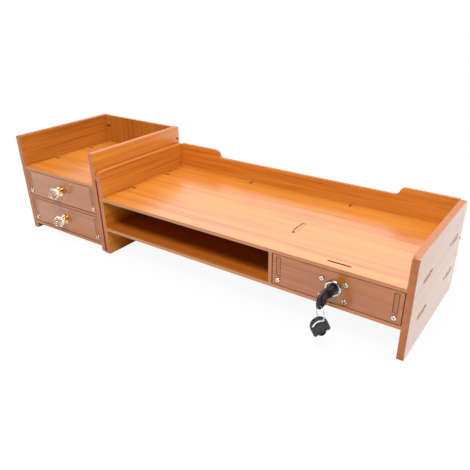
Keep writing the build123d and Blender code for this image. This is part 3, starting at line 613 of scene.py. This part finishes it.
# %% [markdown]
# ## Black plastic and blackened screws
# The key heads are moulded in black plastic with a fine spark-eroded texture. The frame's screws are
# blackened, which looks much the same from here, only browner and duller. Black in a photograph is
# never zero: a slow cloud lifts the colour here and there and moves the gloss with it.

# %% Black finishes
def moulded(name, colour, rough):
    """A black finish with a fine texture and a cloudy gloss."""
    shader = Shader(name, IOR=1.46)
    grain = shader.noise(shader.place(), 2600.0, detail=2.0, roughness=0.6)
    cloud = shader.noise(shader.place(), 160.0, detail=2.0, roughness=0.5)
    light = tuple(part * 1.8 for part in colour)
    shader.drive(Base_Color=shader.blend(cloud, (*colour, 1.0), (*light, 1.0)),
                 Roughness=(cloud - 0.5) * 0.2 + rough)
    shader.raised(grain, distance=0.00008, strength=0.35)
    return shader.material


black_oxide = moulded("black_oxide", (0.022, 0.014, 0.010), rough=0.62)
black_plastic = moulded("black_plastic", (0.012, 0.012, 0.013), rough=0.38)
print("black finishes", black_oxide.name, black_plastic.name)

# %% [markdown]
# ## The keys' blades
# A folding key has a steel blade whose hinge end sits in a moulded black grip. Blade and grip are
# one solid in the CAD model. They could be two, but the line between them is straight, so one
# material can tell them apart: the distance from the hinge pin, measured along the blade, says where
# the grip ends and the steel begins. The spare key hangs at a slant and has its own direction.

# %% Blades with a grip
GRIP_REACH = 0.0186
GRIP_BLACK = (0.014, 0.014, 0.015, 1.0)
BLADE_STEEL = (0.74, 0.73, 0.70, 1.0)
KEY_DIRECTION = (0.0, 1.0, 0.0)
SPARE_KEY_DIRECTION = (-0.4991, 0.7228, -0.4781)


def gripped_blade(name, pin_node, direction):
    """A key's steel blade that grows out of a black moulded grip."""
    shader = Shader(name)
    low_point, high_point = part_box(pin_node)
    from_pin = shader.place_from((low_point + high_point) / 2)
    reach = shader.add("ShaderNodeVectorMath", {"operation": "DOT_PRODUCT"}, {0: from_pin, 1: direction},
                       out="Value")
    bare = reach > GRIP_REACH
    speckle = shader.noise(shader.place(), SPECKLE_SCALE, detail=3.0, roughness=0.6)
    shader.drive(Base_Color=shader.blend(bare, GRIP_BLACK, BLADE_STEEL), Metallic=bare,
                 Roughness=(speckle - 0.5) * 0.1 + 0.36 - bare * 0.18)
    shader.raised(speckle, distance=0.00003, strength=0.3)
    return shader.material


key_blade = gripped_blade("key_blade", "key_pin", KEY_DIRECTION)
spare_blade = gripped_blade("spare_blade", "spare_key_pin", SPARE_KEY_DIRECTION)
print("grips end", GRIP_REACH, "from their pins")

# %% [markdown]
# ## Cut crystal
# The two knobs are clear cut glass on brass bases. A glass shader alone would do, but a perfectly
# clean one looks drawn, so a faint haze moves its roughness and its warm tint. The facets are in the
# CAD solid, and full transmission lets them do the rest.

# %% Crystal
def crystal_glass(name):
    """Clear cut glass."""
    shader = Shader(name, IOR=1.55, Transmission_Weight=1.0)
    haze = shader.noise(shader.place(), 300.0, detail=2.0, roughness=0.5)
    shader.drive(Base_Color=shader.blend(haze, (1.0, 0.93, 0.86, 1.0), (1.0, 0.96, 0.91, 1.0)),
                 Roughness=haze * 0.03)
    return shader.material


crystal = crystal_glass("cut_crystal")
print("crystal", crystal.name)

# %% [markdown]
# ## Dress the small parts
# Every node that isn't a board gets its finish here. The nuts and the inside of the lock are hardly
# seen, but a drawer can be pulled out and the set can be turned round, so they are finished too.

# %% Dress the small parts
SMALL = {
    "frame_side_screws": black_oxide, "frame_board_screws": black_oxide, "frame_nuts": zinc,
    "lock_case": cast_zinc, "lock_rear_plate": zinc, "lock_bolt": zinc, "lock_nuts": zinc,
    "lock_ring": chrome, "lock_plug": plug_metal_with_painted_reflection, "key_ring": nickel,
    "key_pin": dark_steel, "key_blade": key_blade, "key_head": black_plastic,
    "spare_key_pin": dark_steel, "spare_key_blade": spare_blade, "spare_key_head": black_plastic,
    **BRIGHT_SCREWS,
}
for drawer_name in DRAWERS:
    SMALL[drawer_name + "_rear_screws"] = dark_steel
    SMALL[drawer_name + "_nuts"] = zinc
for drawer_name in ("upper_drawer", "lower_drawer"):
    SMALL[drawer_name + "_knob_base"] = brass
    SMALL[drawer_name + "_knob_crystal"] = crystal
    SMALL[drawer_name + "_knob_screw"] = zinc
for node_name, material in SMALL.items():
    dress(node_name, material)
print("small parts dressed", len(SMALL), "left bare", sorted(set(nodes) - set(SMALL) - set(BOARDS)))

# %% [markdown]
# ## The floor
# The photograph is cut out on pure white. A floor that is lit until it turns white would also throw
# that light on the set. So the floor is a pale paint that is mixed with a white glow, and Light Path
# shows the glow only to rays from the camera, from a mirror or through glass. Mirrors see it
# brighter than white, as they would see a studio's lit walls. Near the set a small share of the
# paint is left in, which keeps a faint shadow. Right under the set mirrors see the paint alone, or
# the glow would show in the satin film of the inner walls.

# %% Floor
FLOOR_HALF_WIDTH = 6.0
EXTRA_GLOW_IN_MIRRORS = 0.40
SHADOW_NEAR = 0.4
SHADOW_FAR = 0.9
GLOW_NEAR_SET = 0.93

floor_mesh = bpy.data.meshes.new("floor")
floor_form = bmesh.new()
bmesh.ops.create_grid(floor_form, x_segments=1, y_segments=1, size=FLOOR_HALF_WIDTH)
floor_form.to_mesh(floor_mesh)
floor_form.free()
floor = bpy.data.objects.new("floor", floor_mesh)
bpy.context.collection.objects.link(floor)

paint = Shader("floor_white", Base_Color=(0.80, 0.80, 0.80, 1.0), Roughness=0.9, Specular_IOR_Level=0.0)
camera_ray = paint.add("ShaderNodeLightPath", out="Is Camera Ray")
glossy_ray = paint.add("ShaderNodeLightPath", out="Is Glossy Ray")
through_ray = paint.add("ShaderNodeLightPath", out="Is Transmission Ray")
glow = paint.add("ShaderNodeEmission", values={"Color": glossy_ray * EXTRA_GLOW_IN_MIRRORS + 1.0,
                                               "Strength": 1.0})
distance = paint.add("ShaderNodeVectorMath", {"operation": "LENGTH"}, {0: paint.place()}, out="Value")
far = paint.mapped(distance, SHADOW_NEAR, SHADOW_FAR, GLOW_NEAR_SET, 1.0)
past_ends = abs(paint.coordinate(paint.place(), "X")) > cad_high[0]
past_front_or_back = abs(paint.coordinate(paint.place(), "Y")) > stand_high.y
share = (camera_ray + glossy_ray * past_ends.at_least(past_front_or_back) + through_ray) * far
paint.show(paint.add("ShaderNodeMixShader", values={0: share, 1: paint.surface, 2: glow}))
floor_mesh.materials.append(paint.material)
print("floor reaches", FLOOR_HALF_WIDTH, "from the middle")

# %% [markdown]
# ## The world
# Round the set the world is white to the camera and through the crystal. As a light it is weak. A
# bright world would fill every corner evenly, and the bay under the deck is dark in the photograph,
# so the lamps do the lighting.

# %% World
WORLD_LIGHT = 0.14
WHITE = (1.0, 1.0, 1.0, 1.0)

world = bpy.data.worlds.new("white")
bpy.context.scene.world = world
world.use_nodes = True
sky = NodeBuilder(world.node_tree, "ShaderNodeOutputWorld")
camera_ray = sky.add("ShaderNodeLightPath", out="Is Camera Ray")
through_ray = sky.add("ShaderNodeLightPath", out="Is Transmission Ray")
light = sky.add("ShaderNodeBackground", values={"Color": WHITE, "Strength": WORLD_LIGHT})
backdrop = sky.add("ShaderNodeBackground", values={"Color": WHITE, "Strength": 1.0})
seen = camera_ray.at_least(through_ray)
sky.show(sky.add("ShaderNodeMixShader", values={0: seen, 1: light, 2: backdrop}))
print("world light", WORLD_LIGHT)

# %% [markdown]
# ## Four soft lamps
# The photograph has plain studio light with one mark of its own: a pale wash on the film of the
# decks. A lamp behind the set, mirrored in the film, makes that wash. One overhead gives the even
# light, and a weak one at the right lights the pale outer side. The lamp in front is small, high and
# strong, so it lights the fronts and only the front strip of the bay, and the bay's depth stays dark.
# The view transform is Standard, which shows a colour about as it is written.

# %% Lamps
def softbox(name, place, aim, size, power):
    """A rectangular soft lamp that points at a place."""
    lamp_data = bpy.data.lights.new(name, "AREA")
    lamp_data.shape = "RECTANGLE"
    lamp_data.size, lamp_data.size_y = size
    lamp_data.energy = power
    lamp = bpy.data.objects.new(name, lamp_data)
    lamp.location = place
    lamp.rotation_euler = (Vector(aim) - Vector(place)).to_track_quat("-Z", "Y").to_euler()
    bpy.context.collection.objects.link(lamp)
    print(name, "at", place, "with", power, "watts")


softbox("overhead_lamp", (-0.1, 0.25, 1.5), aim=(0.0, 0.0, 0.0), size=(1.3, 1.0), power=18.5)
softbox("back_lamp", (-0.55, 1.25, 1.15), aim=(-0.2, 0.0, 0.08), size=(2.4, 0.9), power=14.6)
softbox("front_lamp", (0.35, -0.85, 1.6), aim=(0.0, 0.0, 0.05), size=(0.7, 0.45), power=25.0)
softbox("right_lamp", (1.3, 0.2, 0.8), aim=(0.2, 0.0, 0.08), size=(0.8, 0.8), power=3.0)
bpy.context.scene.view_settings.view_transform = "Standard"
